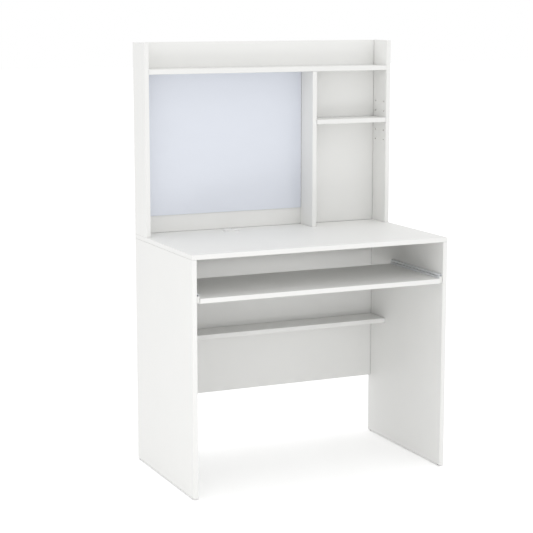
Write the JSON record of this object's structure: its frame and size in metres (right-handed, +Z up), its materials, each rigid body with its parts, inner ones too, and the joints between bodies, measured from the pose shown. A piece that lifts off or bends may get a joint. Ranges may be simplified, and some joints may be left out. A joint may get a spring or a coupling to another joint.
{
  "type": "computer desk",
  "caption": "White flat-pack computer desk with a pull-out keyboard tray on roller slides, a foot shelf, and a hutch with a whiteboard, a cubby with an adjustable shelf and a top gallery.",
  "frame": {"origin": "on the floor, below the middle of the desk's overall box", "axes": "+X to the right as seen from the front, +Y to the rear, +Z up"},
  "size_m": [0.872, 0.49, 1.36],
  "materials": {
    "white_board": "white melamine faced particle board, satin",
    "whiteboard_sheet": "glossy dry-wipe sheet",
    "coated_steel": "rolled sheet, pale grey epoxy coat",
    "fixing_steel": "zinc-plated",
    "cam_zinc": "die-cast zinc alloy",
    "beech": "bare beech",
    "nylon": "white nylon",
    "grommet_plastic": "fine satin",
    "glide_plastic": "matt"
  },
  "bodies": {
    "desk": {"cam_bolts": "fixing_steel", "cam_locks": "cam_zinc", "desk_left_side": "white_board", "desk_right_side": "white_board", "desk_top": "white_board", "dowels": "beech", "floor_glides": "glide_plastic", "foot_shelf": "white_board", "front_roller_axles": "fixing_steel", "grommet_liner": "grommet_plastic", "hutch_back_panel": "white_board", "hutch_divider": "white_board", "hutch_left_side": "white_board", "hutch_right_side": "white_board", "hutch_shelf": "white_board", "modesty_panel": "white_board", "panel_screws": "fixing_steel", "shelf_pins": "fixing_steel", "slide_outer_left": "coated_steel", "slide_outer_right": "coated_steel", "slide_side_screws": "fixing_steel", "whiteboard": "whiteboard_sheet"},
    "keyboard_tray": {"keyboard_tray": "white_board", "slide_inner_left": "coated_steel", "slide_inner_right": "coated_steel", "slide_tray_screws": "fixing_steel", "rear_roller_axles": "fixing_steel"},
    "front_roller_left": {"front_roller_left": "nylon"},
    "front_roller_right": {"front_roller_right": "nylon"},
    "rear_roller_left": {"rear_roller_left": "nylon"},
    "rear_roller_right": {"rear_roller_right": "nylon"},
    "adjustable_shelf": {"adjustable_shelf": "white_board"},
    "grommet_cap": {"grommet_cap": "grommet_plastic"}
  },
  "joints": [
    {"name": "tray_slide", "type": "slide", "parent": "desk", "child": "keyboard_tray", "axis": [0, -1, 0], "range_m": [0, 0.22]},
    {"name": "front_roller_left_turn", "type": "hinge", "parent": "desk", "child": "front_roller_left", "pos_m": [-0.4166, -0.226, 0.6145], "axis": [1, 0, 0], "range_deg": [0, 1400.57]},
    {"name": "front_roller_right_turn", "type": "hinge", "parent": "desk", "child": "front_roller_right", "pos_m": [0.4166, -0.226, 0.6145], "axis": [1, 0, 0], "range_deg": [0, 1400.57]},
    {"name": "rear_roller_left_turn", "type": "hinge", "parent": "keyboard_tray", "child": "rear_roller_left", "pos_m": [-0.4166, 0.0692, 0.61435], "axis": [1, 0, 0], "range_deg": [0, 1400.57]},
    {"name": "rear_roller_right_turn", "type": "hinge", "parent": "keyboard_tray", "child": "rear_roller_right", "pos_m": [0.4166, 0.0692, 0.61435], "axis": [1, 0, 0], "range_deg": [0, 1400.57]},
    {"name": "shelf_lift", "type": "slide", "parent": "desk", "child": "adjustable_shelf", "axis": [0, 0, 1], "range_m": [0, 0.064]},
    {"name": "grommet_cap_turn", "type": "hinge", "parent": "desk", "child": "grommet_cap", "pos_m": [-0.13, 0.177, 0.753], "axis": [0, 0, 1], "continuous": true}
  ],
  "couplings": [
    {"joint": "front_roller_left_turn", "follows": "tray_slide", "rad_per_m": 111.11},
    {"joint": "front_roller_right_turn", "follows": "tray_slide", "rad_per_m": 111.11},
    {"joint": "rear_roller_left_turn", "follows": "tray_slide", "rad_per_m": 111.11},
    {"joint": "rear_roller_right_turn", "follows": "tray_slide", "rad_per_m": 111.11}
  ]
}
